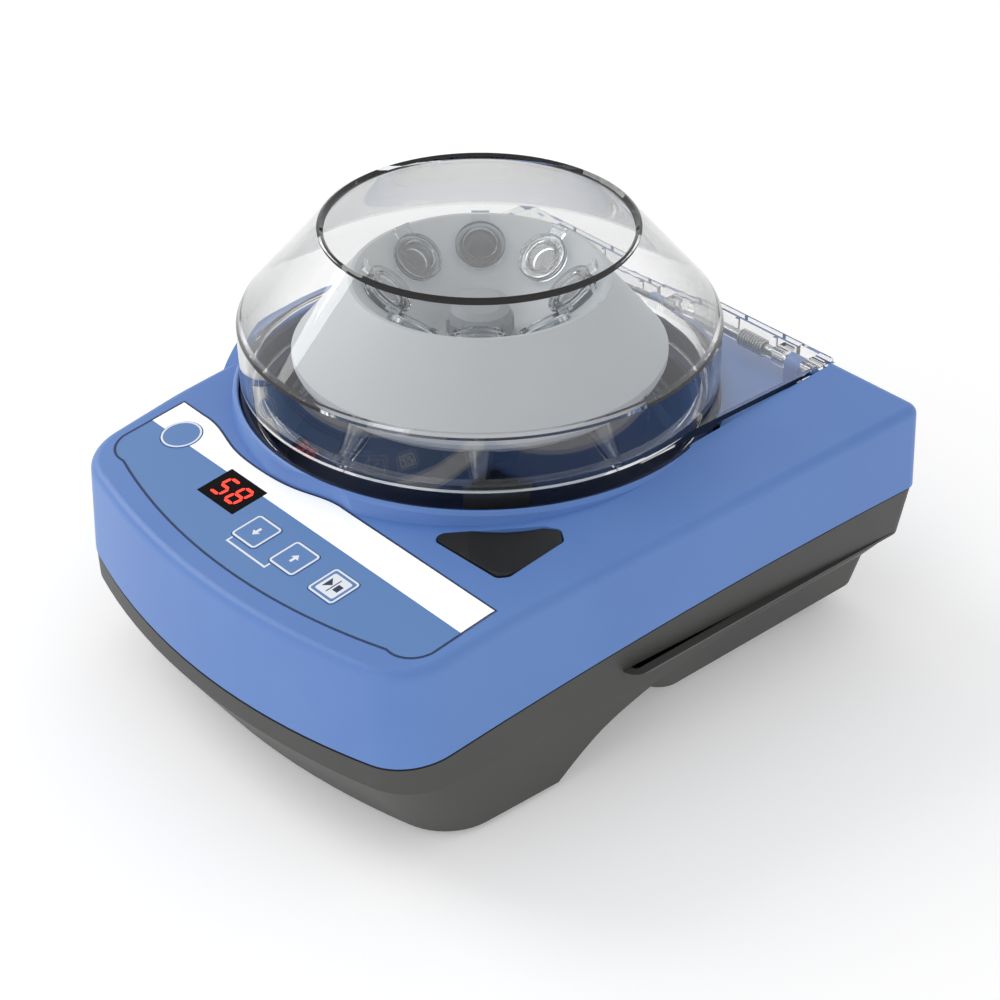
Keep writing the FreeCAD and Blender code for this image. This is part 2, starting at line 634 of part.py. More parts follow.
def prism_xz(points):
    pts = [V(AX + r, AY - 20, z) for r, z in points]
    face = Part.Face(Part.makePolygon(pts + [pts[0]]))
    return face.extrude(V(0, 40, 0))


def latch_guide():
    # channel the pawl slides in, on two arms from the wall of the well
    base = radial_box(64.0, 86.0, 6.4, 44.4, 45.8)
    rails = radial_box(64.0, 86.0, 0.7, 45.0, 50.4, shift=5.7)
    rails = rails.fuse(radial_box(64.0, 86.0, 0.7, 45.0, 50.4, shift=-5.7))
    stop = radial_box(84.8, 86.0, 6.4, 45.0, 50.4)
    shape = fuse([base, rails, stop])
    x, y = bearing_point(LATCH_ANGLE, BUTTON_R)
    shape = shape.cut(cyl(2.0, 40, 46.2, x, y))
    arms = radial_box(58.0, 66.0, 2.0, 45.0, 47.0, shift=5.0).fuse(radial_box(58.0, 66.0, 2.0, 45.0, 47.0, shift=-5.0))
    return fuse([shape, arms.cut(cyl(58.05, 30, 60))])


def coil(x, y, z, axis, r, wire, pitch, height):
    helix = Part.makeHelix(pitch, height, r)
    profile = Part.Wire([Part.makeCircle(wire, V(r, 0, 0), V(0, 1, 0))])
    spring = Part.Wire(helix).makePipeShell([profile], True, True)
    rot = FreeCAD.Rotation(UP, axis)
    spring.Placement = FreeCAD.Placement(V(x, y, z), rot)
    return spring


def button_spring():
    x, y = bearing_point(LATCH_ANGLE, BUTTON_R)
    return coil(x, y, 53.3, UP, 2.3, 0.25, 1.3, 3.9)


def latch_spring():
    x, y = bearing_point(LATCH_ANGLE, 80.3)
    a = math.radians(LATCH_ANGLE)
    return coil(x, y, 49.3, V(math.cos(a), math.sin(a), 0), 0.95, 0.2, 0.6, 1.8)


def lid_switch():
    body = radial_box(60.0, 66.0, 5.0, 47.6, 55.6, degrees=LATCH_ANGLE + 14.0)
    lever = radial_box(60.4, 65.6, 1.6, 55.5, 56.4, degrees=LATCH_ANGLE + 14.0)
    legs = radial_box(60.6, 61.1, 0.8, 44.6, 47.7, degrees=LATCH_ANGLE + 14.0)
    legs2 = radial_box(64.6, 65.1, 0.8, 44.6, 47.7, degrees=LATCH_ANGLE + 14.0)
    tab = radial_box(57.6, 60.2, 2.5, 49.0, 51.0, degrees=LATCH_ANGLE + 14.0).cut(cyl(58.05, 30, 60))
    return fuse([body, lever, legs, legs2, tab])


# ---- lid ----
def lid_dome():
    w = LID_WALL
    dome = turned([(0, LID_TOP_Z - 0.8), (LID_TOP_R - 1.6, LID_TOP_Z - 0.8), (LID_TOP_R - 0.8, LID_TOP_Z),
                   (LID_TOP_R, LID_TOP_Z - 0.4), (SHOULDER_R - 0.7, SHOULDER_Z + 1.0), (SHOULDER_R, SHOULDER_Z - 0.4),
                   (SHOULDER_R, PLATE_TOP + 0.4), (SHOULDER_R - 0.4, PLATE_TOP), (59.8, PLATE_TOP), (59.8, 60.2),
                   (59.4, 59.8), (58.4, 59.8), (58.0, 60.2), (58.0, PLATE_TOP + w - 0.2), (60.9, PLATE_TOP + w - 0.2),
                   (60.9, SHOULDER_Z - 0.8), (60.3, SHOULDER_Z + 0.2), (LID_TOP_R - 1.7, LID_TOP_Z - w - 0.8),
                   (0, LID_TOP_Z - w - 0.8)])
    x0, x1 = AX - PLATE_HALF, AX + PLATE_HALF
    plate = box(x0, x1, AY, REAR_Y, PLATE_UNDER, PLATE_TOP)
    plate = plate.makeFillet(1.5, [e for e in plate.Edges if e.CenterOfMass.y > REAR_Y - 0.1 and
                                   abs(e.CenterOfMass.x - AX) > 50])
    plate = plate.cut(cyl(59.0, 50, 90))
    parts = [dome, plate,
             box(x0 + 0.2, x1 - 0.2, REAR_Y - 1.6, REAR_Y, 61.3, PLATE_TOP - 1.0),
             box(x1 - 2.2, x1, 44.0, REAR_Y - 1.0, 61.3, PLATE_TOP - 1.0),
             box(x0, x0 + 2.2, 56.0, REAR_Y - 1.0, 61.3, PLATE_TOP - 1.0)]
    for x in (-52.0, -36.0, -20.0, 0.0, 16.0, 30.0):
        parts.append(box(x - 0.6, x + 0.6, REAR_Y - 3.8, REAR_Y - 0.8, 61.3, PLATE_UNDER + 0.4))
    for a, b in ((-56.5, -52.5), (-7.9, -3.9), (33.4, 37.4), (43.6, x1 - 1.0)):
        lug = rod_x(EAR_R, a, b, HINGE_Y, HINGE_Z)
        parts.append(lug.fuse(box(a, b, HINGE_Y - EAR_R, HINGE_Y + EAR_R, HINGE_Z, PLATE_UNDER + 0.4)))
    lid = fuse(parts)
    lid = lid.cut(rod_x(PIN_R + 0.08, -68.0, x1 - 0.8, HINGE_Y, HINGE_Z))
    # the rear skirt is notched so that it clears the housing's ears as the lid swings up
    for a, b in EARS:
        lid = lid.cut(box(a - 0.7, b + 0.7, REAR_Y - 4.0, REAR_Y + 1.0, 60.0, PLATE_UNDER))
    return lid


def lid_catch():
    pad = radial_box(56.5, 58.5, 8.0, 60.4, 68.8).common(cyl(57.98, 50, 80))
    bridge = radial_box(56.5, 59.2, 5.4, 58.0, 59.7)
    leg = radial_box(57.9, 59.2, 5.4, 50.6, 59.7)
    lip = radial_box(59.0, 60.5, 5.4, 50.6, 52.2)
    joiner = radial_box(56.5, 57.6, 5.4, 59.0, 61.0)
    return fuse([pad, bridge, leg, lip, joiner])


def lid_bumpers():
    out = []
    for a in (-112.0, -68.0, 60.0, 120.0):
        out.append(radial_box(57.6, 60.6, 4.5, 58.8, 59.6, degrees=a))
    return Part.makeCompound(out)


def hinge_pin():
    return rod_x(PIN_R, -67.0, 47.0, HINGE_Y, HINGE_Z)


def hinge_springs():
    return Part.makeCompound([coil(-50.0, HINGE_Y, HINGE_Z, V(1, 0, 0), 2.05, 0.35, 0.9, 9.0),
                              coil(20.0, HINGE_Y, HINGE_Z, V(1, 0, 0), 2.05, 0.35, 0.9, 9.0)])


# ---- drive ----
MOTOR_BEARINGS = [90.0, 210.0, 330.0]
MOTOR_POST_R = 25.0
MOTOR_TOP = 31.0
SHAFT_R = 2.5


def motor_mount_plate():
    arms = [cyl(20.0, MOTOR_TOP, MOTOR_TOP + 2.0)]
    for a in MOTOR_BEARINGS:
        x, y = bearing_point(a, MOTOR_POST_R)
        arms.append(cyl(5.5, MOTOR_TOP, MOTOR_TOP + 2.0, x, y))
        arms.append(radial_box(10.0, MOTOR_POST_R, 5.5, MOTOR_TOP, MOTOR_TOP + 2.0, degrees=a))
    plate = fuse(arms).cut(cyl(6.05, 20, 50))
    for a in MOTOR_BEARINGS:
        x, y = bearing_point(a, MOTOR_POST_R)
        plate = plate.cut(cyl(1.6, 20, 50, x, y))
        x, y = bearing_point(a + 60.0, 12.5)
        plate = plate.cut(cyl(1.3, 20, 50, x, y))
    return plate


def motor_dampers():
    out = []
    for a in MOTOR_BEARINGS:
        x, y = bearing_point(a, MOTOR_POST_R)
        body = turned([(1.6, 33.0), (4.6, 33.0), (4.6, 34.2), (3.6, 35.0), (3.6, 36.0), (4.6, 36.8), (4.6, 38.0),
                       (1.6, 38.0)], x, y)
        out.append(body)
    return Part.makeCompound(out)


def motor_screws():
    out = []
    for a in MOTOR_BEARINGS:
        x, y = bearing_point(a, MOTOR_POST_R)
        head = cyl(2.8, MOTOR_TOP - 2.4, MOTOR_TOP, x, y).cut(cyl(1.2, 20, MOTOR_TOP - 1.4, x, y))
        out.append(head.fuse(cyl(1.5, MOTOR_TOP - 0.5, 41.1, x, y)))
    for a in MOTOR_BEARINGS:
        x, y = bearing_point(a + 60.0, 12.5)
        out.append(cyl(2.3, MOTOR_TOP + 2.0, MOTOR_TOP + 3.4, x, y).fuse(cyl(1.2, MOTOR_TOP - 2.6, MOTOR_TOP + 2.2, x, y)))
    return Part.makeCompound(out)


def motor_can():
    can = turned([(SHAFT_R + 0.06, 8.4), (16.0, 8.4), (17.8, 10.0), (18.0, 11.0), (18.0, 28.6), (17.2, 30.4),
                  (16.0, MOTOR_TOP), (6.0, MOTOR_TOP), (6.0, MOTOR_TOP + 2.6), (SHAFT_R + 0.06, MOTOR_TOP + 2.6)])
    for a in MOTOR_BEARINGS:
        x, y = bearing_point(a + 60.0, 12.5)
        can = can.cut(cyl(1.25, 28.0, 32.0, x, y))
    return can


def motor_end_cap():
    cap = turned([(6.0, 5.6), (15.4, 5.6), (17.0, 6.8), (17.0, 8.4), (SHAFT_R + 0.5, 8.4), (SHAFT_R + 0.5, 7.0),
                  (6.0, 7.0)])
    tabs = [box(AX + dx - 1.5, AX + dx + 1.5, AY - 19.4, AY - 16.9, 6.9, 7.5) for dx in (-4.0, 4.0)]
    return cap, Part.makeCompound(tabs)


def spindle():
    return turned([(0, 9.0), (SHAFT_R - 0.4, 9.0), (SHAFT_R, 9.4), (SHAFT_R, 82.6), (SHAFT_R - 0.4, 83.0), (0, 83.0)])


def rotor_adapter():
    return turned([(SHAFT_R + 0.01, 52.0), (7.4, 52.0), (7.8, 52.4), (7.8, 58.6), (7.4, 59.0), (6.2, 59.0), (5.6, 72.0),
                   (SHAFT_R + 0.01, 72.0)])


def tube_frame(shape, index):
    # shape drawn along +Z from the tube mouth downward as -Z, moved to its place in the rotor
    s = shape.copy()
    s.rotate(V(0, 0, 0), V(0, 1, 0), -TUBE_LEAN)
    s.translate(V(AX + MOUTH_R, AY, MOUTH_Z))
    s.rotate(V(AX, AY, 0), UP, TUBE_BEARING + 360.0 / TUBE_COUNT * index)
    return s


def turned_local(points):
    pts = [V(r, 0, z) for r, z in points]
    return Part.Face(Part.makePolygon(pts + [pts[0]])).revolve(V(0, 0, 0), UP, 360)


def rotor():
    body = turned([(6.25, 59.2), (13.0, 59.2), (15.0, 62.0), (30.0, 65.6), (44.6, 69.6), (47.7, 72.4), (48.4, 74.0),
                   (48.4, 76.0), (33.9, 93.8), (33.2, 94.5), (32.2, 94.5), (31.4, 93.9), (12.6, 78.0), (11.0, 77.2),
                   (9.6, 77.2), (9.0, 79.6), (2.62, 79.6), (2.62, 74.0), (5.8, 74.0)])
    body.rotate(V(AX, AY, 0), UP, TUBE_BEARING + 180.0 / TUBE_COUNT)
    for i in range(TUBE_COUNT):
        hole = turned_local([(0, -46), (5.7, -46), (5.7, -0.6), (8.7, 2.4), (8.7, 12), (0, 12)])
        body = body.cut(tube_frame(hole, i))
    return body


def rotor_lock_nut():
    nut = turned([(2.62, 79.7), (8.4, 79.7), (8.8, 80.3), (8.8, 83.4), (7.6, 85.6), (5.2, 86.6), (0, 86.8), (0, 83.2),
                  (2.62, 83.2)])
    for i in range(10):
        a = 36.0 * i
        x, y = bearing_point(a, 9.5)
        nut = nut.cut(cyl(1.2, 79, 84.6, x, y))
    return nut


def sample_tubes():
    out = []
    for i in range(TUBE_COUNT):
        t = turned_local([(0, -38.0), (1.3, -37.5), (1.9, -36.4), (5.2, -19.0), (5.4, -17.0), (5.5, 0.3), (6.5, 0.4),
                          (6.6, 1.6), (4.6, 1.6), (4.5, -17.0), (4.4, -19.0), (1.2, -35.6), (0, -36.6)])
        out.append(tube_frame(t, i))
    return Part.makeCompound(out)


def tube_caps():
    out = []
    for i in range(TUBE_COUNT):
        c = turned_local([(0, 1.62), (3.6, 1.62), (3.6, -1.2), (4.4, -1.0), (4.45, 1.62), (6.5, 1.62), (6.7, 2.0),
                          (6.7, 3.0), (6.4, 3.3), (4.6, 3.3), (4.2, 2.9), (0, 2.9)])
        tab = box(6.2, 9.2, -2.4, 2.4, 2.0, 2.9)
        tab = tab.fuse(box(8.5, 9.2, -2.4, 2.4, 2.0, 3.7))
        c = c.fuse(tab).removeSplitter()
        out.append(tube_frame(c, i))
    return Part.makeCompound(out)


# ---- electrics ----
def power_board():
    b = box(50.5, 70.5, -18.0, 56.0, 31.0, 32.6)
    for x, y in [(58.0, -14.0), (58.0, 50.0)]:
        b = b.cut(cyl(1.2, 30, 34, x, y))
    return b


def power_components():
    return Part.makeCompound([cyl(4.0, 32.6, 45.0, 62.0, 34.0), cyl(4.0, 32.6, 45.0, 62.0, 24.0),
                              box(52.5, 56.5, 2.0, 18.0, 32.6, 42.0),
                              tube(5.0, 2.4, 32.6, 36.6, 62.0, 8.0),
                              box(58.0, 67.0, -6.0, 0.0, 32.6, 38.5)])


def power_board_screws():
    return Part.makeCompound([cyl(2.0, 32.6, 34.0, x, y).fuse(cyl(1.0, 25.0, 32.8, x, y))
                              for x, y in [(58.0, -14.0), (58.0, 50.0)]])


def dc_inlet_socket():
    x, z = SOCKET_X, SOCKET_Z
    body = box(x - 5.0, x + 5.0, 73.0, REAR_Y - 0.5, z - 5.5, z + 5.5)
    body = body.makeFillet(0.6, [e for e in body.Edges if abs(e.CenterOfMass.y - (REAR_Y - 0.5)) < 0.01])
    bore = Part.makeCylinder(2.9, 10.0, V(x, REAR_Y - 10.0, z), V(0, 1, 0))
    pin_hole = Part.makeCylinder(1.0, 16.0, V(x, 73.5, z), V(0, 1, 0))
    lip = box(x - 6.4, x + 6.4, 82.6, 84.0, z - 6.9, z + 6.9)
    return fuse([body, lip]).cut(bore).cut(pin_hole)


def dc_centre_pin():
    x, z = SOCKET_X, SOCKET_Z
    pin = Part.makeCylinder(0.98, 11.6, V(x, 73.6, z), V(0, 1, 0))
    return pin


def lead_wires():
    out = []
    routes = [[V(SOCKET_X - 2, 72.0, 25.0), V(SOCKET_X - 2, 66, 28.5), V(43.5, 59.5, 34.5), V(51.6, 50.0, 33.7)],
              [V(SOCKET_X + 2, 72.0, 25.0), V(SOCKET_X + 2, 68, 28.5), V(47.5, 62.0, 34.5), V(54.2, 53.4, 33.7)]]
    for pts in routes:
        spline = Part.BSplineCurve()
        spline.interpolate(pts)
        path = Part.Wire(spline.toShape())
        start = pts[0]
        direction = spline.tangent(spline.FirstParameter)[0]
        profile = Part.Wire([Part.makeCircle(0.8, start, direction)])
        out.append(path.makePipeShell([profile], True, True))
    return Part.makeCompound(out)


# ---- feet, fasteners, label ----
def rubber_feet():
    out = []
    for x, y in FEET:
        foot = turned([(0, 0), (FEET_R - 0.8, 0), (FEET_R - 0.2, 0.6), (FEET_R, FLOOR_Z), (FEET_R, FLOOR_Z + 1.2),
                       (0, FLOOR_Z + 1.2)], x, y)
        out.append(foot)
    return Part.makeCompound(out)


def housing_screws():
    out = []
    for x, y in HOUSING_BOSSES:
        head = cyl(2.9, 9.6, 12.0, x, y).cut(cyl(1.2, 9.0, 10.8, x, y))
        out.append(head.fuse(cyl(1.45, 11.5, 40.0, x, y)))
    return Part.makeCompound(out)


def rating_plate():
    return box(PANEL_X - 20.0, PANEL_X + 20.0, 34.0, 58.0, FLOOR_Z - 0.3, FLOOR_Z)


def main():
    os.makedirs("parts", exist_ok=True)
    save("upper_housing", upper_housing())
    save("base_tray", base_tray())
    save("parting_seal", parting_seal())
    save("rotor_bowl", rotor_bowl())
    save("bowl_screws", bowl_screws())
    save("control_panel_overlay", control_panel_overlay())
    save("display_window", display_window())
    save("display_module", display_module())
    save("control_board", control_board())
    save("board_screws", board_screws())
    save("power_key", key_cap(POWER_X, POWER_Y, True))
    save("down_key", key_cap(DOWN_X, KEY_Y, False))
    save("up_key", key_cap(UP_X, KEY_Y, False))
    save("start_key", key_cap(START_X, KEY_Y, False))
    save("key_switches", key_switches())
    save("lid_open_button", lid_open_button())
    save("button_spring", button_spring())
    save("latch_pawl", latch_pawl())
    save("latch_guide", latch_guide())
    save("latch_spring", latch_spring())
    save("lid_switch", lid_switch())
    save("lid_dome", lid_dome())
    save("lid_catch", lid_catch())
    save("lid_bumpers", lid_bumpers())
    save("hinge_pin", hinge_pin())
    save("hinge_springs", hinge_springs())
    save("motor_mount_plate", motor_mount_plate())
    save("motor_dampers", motor_dampers())
    save("motor_screws", motor_screws())
    save("motor_can", motor_can())
    cap, tabs = motor_end_cap()
    save("motor_end_cap", cap)
    save("motor_terminals", tabs)
    save("spindle", spindle())
    save("rotor_adapter", rotor_adapter())
    save("rotor", rotor())
    save("rotor_lock_nut", rotor_lock_nut())
    save("sample_tubes", sample_tubes())
    save("tube_caps", tube_caps())
    save("power_board", power_board())
    save("power_components", power_components())
    save("power_board_screws", power_board_screws())
    save("dc_inlet_socket", dc_inlet_socket())
    save("dc_centre_pin", dc_centre_pin())
    save("lead_wires", lead_wires())
    save("rubber_feet", rubber_feet())
    save("housing_screws", housing_screws())
    save("rating_plate", rating_plate())


main()
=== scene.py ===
import math

import bmesh
import bpy
from mathutils import Matrix, Vector


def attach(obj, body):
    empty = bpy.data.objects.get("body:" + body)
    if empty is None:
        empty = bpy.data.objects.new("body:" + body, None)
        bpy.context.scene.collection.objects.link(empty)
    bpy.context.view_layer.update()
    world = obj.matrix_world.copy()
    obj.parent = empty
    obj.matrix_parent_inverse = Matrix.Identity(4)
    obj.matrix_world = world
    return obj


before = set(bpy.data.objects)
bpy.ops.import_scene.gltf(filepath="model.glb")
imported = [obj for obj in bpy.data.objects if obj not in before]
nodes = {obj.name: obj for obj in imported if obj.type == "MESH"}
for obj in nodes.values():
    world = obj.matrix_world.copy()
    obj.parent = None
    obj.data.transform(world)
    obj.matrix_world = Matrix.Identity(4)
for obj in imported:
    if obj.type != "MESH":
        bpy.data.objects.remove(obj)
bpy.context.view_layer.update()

# ---- Base tray ----
# The dark lower half of the case, one injection moulding in charcoal ABS with a spark-eroded grain.
# It carries the motor, the boards and the feet, and four screws pull the blue housing down onto it.
TRAY_COLOUR = "#444442"
TRAY_SHADE = "#3B3B3A"
GRAIN_MM = 0.45          # real grain is about 0.1 mm, drawn coarser so that it shows
GLOSS_SPREAD = 0.06      # how far a moulding's roughness strays from its middle value
RELIEF = 0.0001          # depth of the surface patterns, in metres


def linear(colour):
    """A #RRGGBB colour as the linear RGBA that the shaders take."""
    parts = [int(colour[i:i + 2], 16) / 255 for i in (1, 3, 5)]
    return tuple(c / 12.92 if c <= 0.04045 else ((c + 0.055) / 1.055) ** 2.4 for c in parts) + (1.0,)


def add_node(tree, kind, sockets=None, **settings):
    """Adds a shader node. settings are its properties. sockets gives an input's value or what feeds it."""
    made = tree.nodes.new("ShaderNode" + kind)
    for name, value in settings.items():
        setattr(made, name, value)
    for name, value in (sockets or {}).items():
        if isinstance(value, bpy.types.NodeSocket):
            tree.links.new(value, made.inputs[name])
        else:
            made.inputs[name].default_value = value
    return made


def new_material(name, **sockets):
    """A material with one Principled shader, whose sockets are set by name with _ for a space."""
    made = bpy.data.materials.new(name)
    made.use_nodes = True
    shader = made.node_tree.nodes["Principled BSDF"]
    for socket, value in sockets.items():
        shader.inputs[socket.replace("_", " ")].default_value = value
    return made, made.node_tree, shader


def moulded(name, colour, shade, roughness, grain=GRAIN_MM, depth=0.12, **sockets):
    """A moulded plastic: faint cloudy colour, grain from the tool, and gloss that varies a little."""
    made, tree, shader = new_material(name, IOR=1.53, **sockets)
    place = add_node(tree, "TexCoord").outputs["Object"]
    cloud = add_node(tree, "TexNoise", {"Vector": place, "Scale": 22.0, "Detail": 3.0})
    colours = add_node(tree, "Mix", {6: linear(shade), 7: linear(colour)}, data_type="RGBA")
    soft = add_node(tree, "MapRange", {"Value": cloud.outputs["Fac"], "From Min": 0.35, "From Max": 0.65})
    tree.links.new(soft.outputs["Result"], colours.inputs["Factor"])
    tree.links.new(colours.outputs[2], shader.inputs["Base Color"])
    gloss = add_node(tree, "MapRange", {"Value": cloud.outputs["Fac"], "To Min": roughness - GLOSS_SPREAD,
                                        "To Max": roughness + GLOSS_SPREAD})
    tree.links.new(gloss.outputs["Result"], shader.inputs["Roughness"])
    cells = add_node(tree, "TexNoise", {"Vector": place, "Scale": 1000.0 / grain, "Detail": 1.0})
    bump = add_node(tree, "Bump", {"Height": cells.outputs["Fac"], "Strength": depth, "Distance": RELIEF})
    tree.links.new(bump.outputs["Normal"], shader.inputs["Normal"])
    return made


def finish_node(name, made):
    """Gives a CAD node its material."""
    slots = nodes[name].material_slots
    for slot in slots:
        slot.material = made
    if not slots:
        nodes[name].data.materials.append(made)


charcoal_abs = moulded("charcoal moulded ABS", TRAY_COLOUR, TRAY_SHADE, 0.52)
finish_node("base_tray", charcoal_abs)

# ---- Feet and label ----
# Four soft rubber discs pressed into the tray's corners, and a blank foil label stuck underneath.
# The rubber is a black thermoplastic elastomer, matt and slightly dusty to the eye.
RUBBER_COLOUR = "#1B1B1C"
RUBBER_DUST = "#29292A"
FOIL_COLOUR = "#C3C5C8"
METAL_SPREAD = 0.08      # the same for metals, which vary more along the brushed lines

foot_rubber = moulded("black thermoplastic elastomer", RUBBER_COLOUR, RUBBER_DUST, 0.78, grain=0.7,
                      depth=0.3)
finish_node("rubber_feet", foot_rubber)


def metal(name, colour, roughness, brush=(1.0, 1.0, 1.0)):
    """A metal whose gloss and surface run in lines along the axis that brush leaves short."""
    made, tree, shader = new_material(name, Base_Color=linear(colour), Metallic=1.0)
    place = add_node(tree, "TexCoord").outputs["Object"]
    stretch = add_node(tree, "Mapping", {"Vector": place, "Scale": brush}).outputs["Vector"]
    lines = add_node(tree, "TexNoise", {"Vector": stretch, "Scale": 1500.0, "Detail": 2.0})
    gloss = add_node(tree, "MapRange", {"Value": lines.outputs["Fac"], "To Min": roughness - METAL_SPREAD,
                                        "To Max": roughness + METAL_SPREAD})
    tree.links.new(gloss.outputs["Result"], shader.inputs["Roughness"])
    bump = add_node(tree, "Bump", {"Height": lines.outputs["Fac"], "Strength": 0.04, "Distance": RELIEF})
    tree.links.new(bump.outputs["Normal"], shader.inputs["Normal"])
    return made


finish_node("rating_plate", metal("brushed foil label", FOIL_COLOUR, 0.38, brush=(0.05, 1.0, 1.0)))

# ---- Motor and drive ----
# A small brushed DC motor in a drawn steel can hangs from a zinc plated plate on three rubber bushes.
# Its ground shaft carries a turned brass adapter, which the rotor drops onto.
ZINC_COLOUR = "#A9ACB0"
CAN_COLOUR = "#8E9194"
GROUND_COLOUR = "#BBBDC0"
BRASS_COLOUR = "#C9A35A"
CARD_COLOUR = "#202021"

zinc_plate = metal("zinc plated steel", ZINC_COLOUR, 0.42)
ground_steel = metal("ground steel", GROUND_COLOUR, 0.22, brush=(1.0, 1.0, 0.05))
turned_brass = metal("turned brass", BRASS_COLOUR, 0.3, brush=(0.2, 0.2, 1.0))
black_nylon = moulded("black moulded nylon", CARD_COLOUR, "#2A2A2B", 0.5)
finish_node("motor_mount_plate", zinc_plate)
finish_node("motor_can", metal("drawn steel can", CAN_COLOUR, 0.35, brush=(1.0, 1.0, 0.08)))
finish_node("motor_end_cap", black_nylon)
finish_node("motor_terminals", turned_brass)
finish_node("motor_dampers", foot_rubber)
finish_node("spindle", ground_steel)
finish_node("rotor_adapter", turned_brass)
for screws in ("motor_screws", "power_board_screws", "board_screws", "bowl_screws", "housing_screws"):
    finish_node(screws, zinc_plate)

# ---- Supply ----
# A glass-epoxy board with its coil and capacitors, wired to a moulded DC socket in the rear wall.
# The board's green is a solder mask over copper, so it is darker where no copper lies under it.
MASK_LIGHT = "#1F7A4C"
MASK_DARK = "#14573A"
TRACK_MM = 1.6           # spacing of the copper under the mask
SLEEVE_COLOUR = "#22242B"
WIRE_COLOUR = "#9C1F1C"


def solder_mask():
    """Green mask with the copper's blocky pattern showing through."""
    made, tree, shader = new_material("green solder mask", Roughness=0.34, IOR=1.5)
    place = add_node(tree, "TexCoord").outputs["Object"]
    copper = add_node(tree, "TexVoronoi", {"Vector": place, "Scale": 1000.0 / TRACK_MM},
                      distance="CHEBYCHEV")
    step = add_node(tree, "MapRange", {"Value": copper.outputs["Distance"], "From Min": 0.42,
                                       "From Max": 0.46})
    colours = add_node(tree, "Mix", {"Factor": step.outputs["Result"], 6: linear(MASK_LIGHT),
                                     7: linear(MASK_DARK)}, data_type="RGBA")
    tree.links.new(colours.outputs[2], shader.inputs["Base Color"])
    bump = add_node(tree, "Bump", {"Height": step.outputs["Result"], "Strength": 0.2, "Distance": RELIEF})
    tree.links.new(bump.outputs["Normal"], shader.inputs["Normal"])
    return made


green_board = solder_mask()
finish_node("power_board", green_board)
finish_node("power_components", moulded("sleeved capacitors and coil", SLEEVE_COLOUR, "#2E3038", 0.4))
finish_node("dc_inlet_socket", black_nylon)
finish_node("dc_centre_pin", turned_brass)
finish_node("lead_wires", moulded("red PVC wire sleeve", WIRE_COLOUR, "#8A1A18", 0.42))

# ---- Blue housing ----
# The upper half of the case, one moulding in blue ABS with a fine satin grain and 2.6 mm rounded edges.
# The well's collar, the hinge ears and the recess for the lid's plate are all part of it.
HOUSING_COLOUR = "#5E85C6"
HOUSING_SHADE = "#587FC2"

blue_abs = moulded("blue moulded ABS", HOUSING_COLOUR, HOUSING_SHADE, 0.42, grain=0.4, depth=0.07)
finish_node("upper_housing", blue_abs)

# ---- Seal between the halves ----
# A thin black elastomer strip lies in the joint and shows as a dark line all round the case.
finish_node("parting_seal", moulded("black elastomer strip", "#0C0D10", "#131418", 0.6))

# ---- Rotor well ----
# A deep bowl in navy ABS, smoother than the case, screwed up into the housing from below. Its colour is the
# navy of the plastic darkened further by painted shade of the deep well.
# Its ledge carries four thin rubber pads that the lid lands on.
WELL_NAVY_WITH_PAINTED_SHADE = "#16264A"
WELL_SHADE = "#122044"

navy_abs_with_painted_shade = moulded("navy moulded ABS with painted shade", WELL_NAVY_WITH_PAINTED_SHADE, WELL_SHADE, 0.5, grain=0.3, depth=0.05,
                   Specular_IOR_Level=0.3)
finish_node("rotor_bowl", navy_abs_with_painted_shade)
finish_node("lid_bumpers", foot_rubber)

# ---- Control board ----
# The board behind the panel, with four tactile switches and the display module soldered to it.
finish_node("control_board", green_board)
finish_node("key_switches", black_nylon)
finish_node("display_module", black_nylon)

# ---- Panel film ----
# A 0.4 mm polyester film lies in a shallow recess: a blue field and a white band behind it, with a dark line
# of painted shade round its edge for the gap.
# It is printed on the back, so the surface is one even satin sheet with a very fine texture.
FILM_BLUE = "#5B84BE"
FILM_WHITE = "#FFFFFF"
FILM_PAINTED_GLOW = 0.15   # painted glow: the white band gives off a little light of its own, so it stays full white where the lamps leave it grey
# Navy of the start key's printed sign, also used as painted shade in the gap round the film.
FILM_PRINT_AND_GAP_SHADE = "#16294F"
BAND_FRONT_Y = -0.056    # front edge of the white band, along Y
GAP_SHADE_LINE = 0.00045      # width of the painted shade line round the film, where the gap to the recess lies
INK = 0.00003            # printed pieces stand this far off the surface

# The display window's face gives the panel's slope, and its corners give the panel's origin.
window = nodes["display_window"].data
panel_up = max(window.polygons, key=lambda f: f.normal.z * f.area).normal.copy()
panel_back = panel_up.cross(Vector((1, 0, 0)))
window_corners = {v for f in window.polygons if f.normal.dot(panel_up) > 0.999 for v in f.vertices}
window_points = {tuple(window.vertices[v].co) for v in window_corners}
panel_origin = sum((Vector(p) for p in sorted(window_points)), Vector()) / len(window_points)
panel_turn = Matrix(((1, 0, 0), panel_back, panel_up)).transposed().to_4x4()
panel_place = Matrix.Translation(panel_origin) @ panel_turn


def on_panel(point):
    """A point of the frame in panel coordinates: across, up the slope, and off the surface."""
    return panel_place.inverted() @ point


def film_top():
    """The film's upper surface, as a bmesh copied from the CAD node."""
    top = bmesh.new()
    top.from_mesh(nodes["control_panel_overlay"].data)
    bmesh.ops.remove_doubles(top, verts=top.verts, dist=1e-6)
    rest = [f for f in top.faces if f.normal.dot(panel_up) < 0.95]
    bmesh.ops.delete(top, geom=rest, context="FACES")
    return top


def new_piece(name, shape, made, body):
    """Makes the bmesh an object of that name and material, which rides on the body."""
    mesh = bpy.data.meshes.new(name)
    shape.to_mesh(mesh)
    shape.free()
    mesh.materials.append(made)
    mesh.shade_smooth()
    mesh.set_sharp_from_angle(angle=math.radians(40.0))
    piece = bpy.data.objects.new(name, mesh)
    bpy.context.scene.collection.objects.link(piece)
    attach(piece, body)


